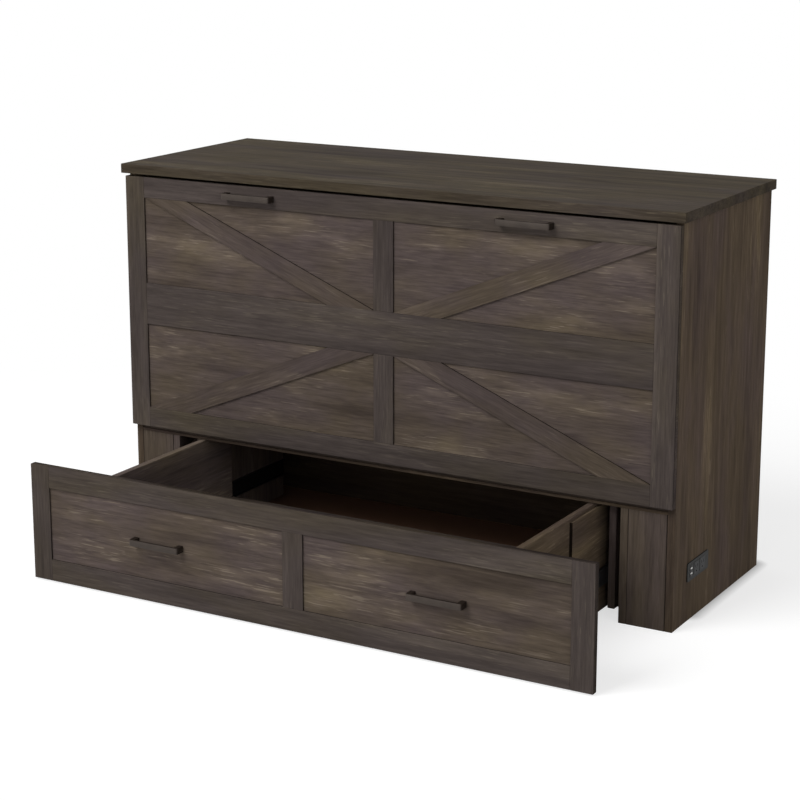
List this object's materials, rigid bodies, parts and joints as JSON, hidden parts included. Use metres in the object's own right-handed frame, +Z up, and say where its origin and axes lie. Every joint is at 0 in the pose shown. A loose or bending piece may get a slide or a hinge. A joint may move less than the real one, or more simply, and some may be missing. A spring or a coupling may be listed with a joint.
{
  "type": "wall bed",
  "caption": "Low cabinet wall bed: braced front panel folds down over a pull-out drawer, a legged foot section unfolds from it, the lid lifts, and a side panel holds a power outlet.",
  "frame": {"origin": "on the floor, in the middle of the box round the whole object with its drawer out", "axes": "+X along the front to the viewer's right, +Y back towards the wall, +Z up"},
  "size_m": [1.624, 1.069, 1.038],
  "materials": {
    "walnut_laminate": "satin dark grey-brown wood-grain laminate",
    "plain_board": "plain dark board, matt",
    "bronze_pull": "dark bronze satin coat",
    "black_slide_steel": "black coated steel",
    "hinge_steel": "zinc-plated steel",
    "leg_steel": "black powder coat",
    "leg_cap_rubber": "matt",
    "outlet_cover_plastic": "dark grey, fine texture",
    "outlet_insert_plastic": "black, half gloss",
    "catch_plastic": "matt"
  },
  "bodies": {
    "cabinet": {"left_side_panel": "walnut_laminate", "right_side_panel": "walnut_laminate", "plinth_boards": "walnut_laminate", "return_strips": "walnut_laminate", "runner_boards": "walnut_laminate", "runner_spacers": "plain_board", "deck_cleats": "plain_board", "deck_bottom_panel": "walnut_laminate", "deck_battens": "plain_board", "bed_deck": "walnut_laminate", "back_panel": "walnut_laminate", "top_rear_rail": "walnut_laminate", "magnetic_catches": "catch_plastic", "outlet_plate": "outlet_cover_plastic", "outlet_box": "outlet_cover_plastic", "outlet_sockets": "outlet_insert_plastic", "outlet_charging_ports": "outlet_insert_plastic", "slide_cabinet_members": "black_slide_steel", "fold_hinge_deck_leaves": "hinge_steel", "fold_hinge_pins": "hinge_steel", "lid_hinge_cabinet_leaves": "hinge_steel", "lid_hinge_pins": "hinge_steel"},
    "drawer": {"drawer_front_core": "walnut_laminate", "drawer_front_rails": "walnut_laminate", "drawer_front_stiles": "walnut_laminate", "left_drawer_side": "walnut_laminate", "right_drawer_side": "walnut_laminate", "drawer_cheeks": "walnut_laminate", "drawer_back": "walnut_laminate", "drawer_bottom": "plain_board", "drawer_skid": "plain_board", "left_drawer_handle": "bronze_pull", "right_drawer_handle": "bronze_pull", "drawer_handle_screws": "hinge_steel", "slide_drawer_members": "black_slide_steel"},
    "slide_middle": {"slide_middle_members": "black_slide_steel"},
    "front_panel": {"door_core": "walnut_laminate", "door_rails": "walnut_laminate", "door_stiles": "walnut_laminate", "door_centre_stiles": "walnut_laminate", "door_braces": "walnut_laminate", "left_door_handle": "bronze_pull", "right_door_handle": "bronze_pull", "door_handle_screws": "hinge_steel", "fold_hinge_door_leaves": "hinge_steel", "catch_strikes": "hinge_steel", "foot_hinge_door_leaves": "hinge_steel", "foot_hinge_pins": "hinge_steel"},
    "foot_section": {"foot_board_panel": "walnut_laminate", "foot_stiffeners": "plain_board", "foot_hinge_foot_leaves": "hinge_steel", "leg_brackets": "leg_steel", "leg_pins": "hinge_steel"},
    "foot_legs": {"left_leg": "leg_steel", "right_leg": "leg_steel", "leg_crossbar": "leg_steel", "leg_caps": "leg_cap_rubber"},
    "lid": {"lid_slab": "walnut_laminate", "lid_hinge_lid_leaves": "hinge_steel"}
  },
  "joints": [
    {"name": "drawer_slide", "type": "slide", "parent": "cabinet", "child": "drawer", "axis": [0, -1, 0], "range_m": [-0.437, 0]},
    {"name": "slide_middle_travel", "type": "slide", "parent": "cabinet", "child": "slide_middle", "axis": [0, -1, 0], "range_m": [-0.2185, 0]},
    {"name": "front_fold", "type": "hinge", "parent": "cabinet", "child": "front_panel", "pos_m": [0, -0.0695, 0.3205], "axis": [1, 0, 0], "range_deg": [0, 90]},
    {"name": "foot_fold", "type": "hinge", "parent": "front_panel", "child": "foot_section", "pos_m": [0, -0.052, 1], "axis": [1, 0, 0], "range_deg": [0, 180]},
    {"name": "leg_swing", "type": "hinge", "parent": "foot_section", "child": "foot_legs", "pos_m": [0, -0.0145, 0.44], "axis": [-1, 0, 0], "range_deg": [0, 90]},
    {"name": "lid_lift", "type": "hinge", "parent": "cabinet", "child": "lid", "pos_m": [0, 0.531, 1.01275], "axis": [-1, 0, 0], "range_deg": [0, 90]}
  ],
  "couplings": [
    {"joint": "slide_middle_travel", "follows": "drawer_slide", "ratio": 0.5},
    {"joint": "foot_fold", "follows": "front_fold", "ratio": 2},
    {"joint": "leg_swing", "follows": "front_fold", "ratio": 1},
    {"joint": "lid_lift", "follows": "front_fold", "ratio": 1}
  ]
}
